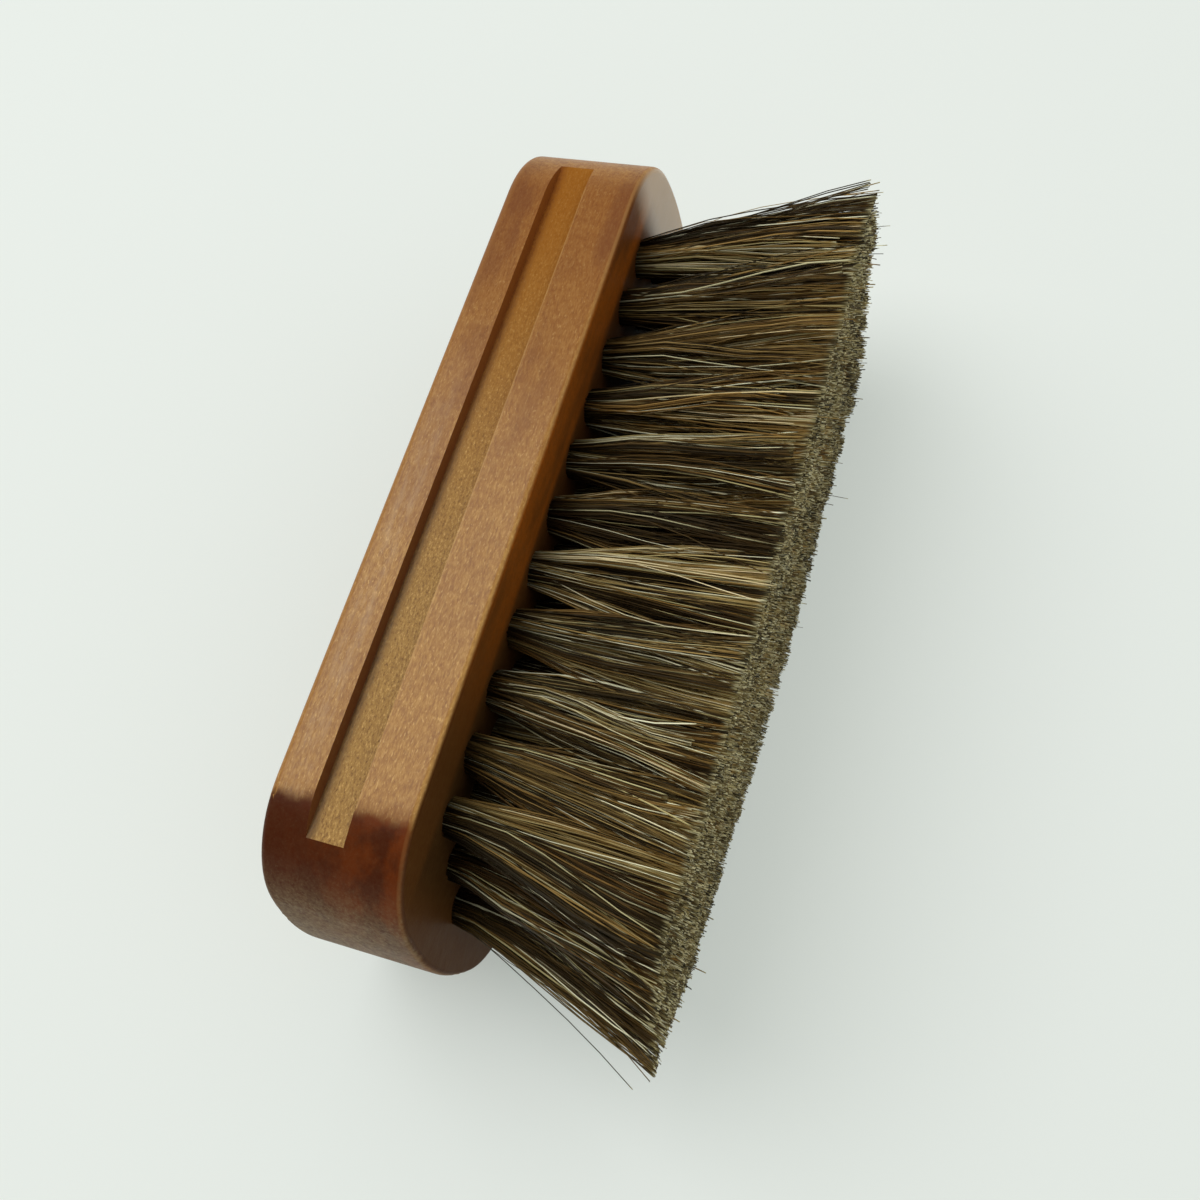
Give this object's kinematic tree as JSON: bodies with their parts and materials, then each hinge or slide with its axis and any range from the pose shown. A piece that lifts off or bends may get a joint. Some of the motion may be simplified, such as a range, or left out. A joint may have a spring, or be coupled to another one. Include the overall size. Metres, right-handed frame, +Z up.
{
  "type": "shoe shine brush",
  "caption": "Hand shoe shine brush: stained wooden block with rounded ends and a finger groove along each side, set with rows of mixed brown horsehair tufts trimmed flat.",
  "frame": {"origin": "on the surface that the brush lies on, below the middle of its box", "axes": "+X along the block, bristles towards -Y, flat back of the block at +Y, +Z up with the brush lying on one long side"},
  "size_m": [0.1132, 0.0456, 0.043],
  "materials": {
    "stained_wood": "stained close-grained hardwood under a thin satin lacquer",
    "horsehair": "natural horsehair, mixed dark brown, tan and grey, trimmed flat",
    "anchor_steel": "plain flat steel strip"
  },
  "bodies": {
    "root": {"handle_block": "stained_wood", "anchors": "anchor_steel", "tuft_a01": "horsehair", "tuft_a02": "horsehair", "tuft_a03": "horsehair", "tuft_a04": "horsehair", "tuft_a05": "horsehair", "tuft_a06": "horsehair", "tuft_a07": "horsehair", "tuft_a08": "horsehair", "tuft_a09": "horsehair", "tuft_a10": "horsehair", "tuft_a11": "horsehair", "tuft_b01": "horsehair", "tuft_b02": "horsehair", "tuft_b03": "horsehair", "tuft_b04": "horsehair", "tuft_b05": "horsehair", "tuft_b06": "horsehair", "tuft_b07": "horsehair", "tuft_b08": "horsehair", "tuft_b09": "horsehair", "tuft_b10": "horsehair", "tuft_b11": "horsehair", "tuft_b12": "horsehair", "tuft_c02": "horsehair", "tuft_c03": "horsehair", "tuft_c04": "horsehair", "tuft_c05": "horsehair", "tuft_c06": "horsehair", "tuft_c07": "horsehair", "tuft_c08": "horsehair", "tuft_c09": "horsehair", "tuft_c10": "horsehair", "tuft_c11": "horsehair", "tuft_c12": "horsehair", "tuft_d01": "horsehair", "tuft_d02": "horsehair", "tuft_d03": "horsehair", "tuft_d04": "horsehair", "tuft_d05": "horsehair", "tuft_d06": "horsehair", "tuft_d07": "horsehair", "tuft_d08": "horsehair", "tuft_d09": "horsehair", "tuft_d10": "horsehair", "tuft_d11": "horsehair", "tuft_d12": "horsehair", "tuft_e01": "horsehair", "tuft_e02": "horsehair", "tuft_e03": "horsehair", "tuft_e04": "horsehair", "tuft_e05": "horsehair", "tuft_e06": "horsehair", "tuft_e07": "horsehair", "tuft_e08": "horsehair", "tuft_e09": "horsehair", "tuft_e10": "horsehair", "tuft_e11": "horsehair", "tufts_ends": "horsehair"}
  },
  "joints": []
}
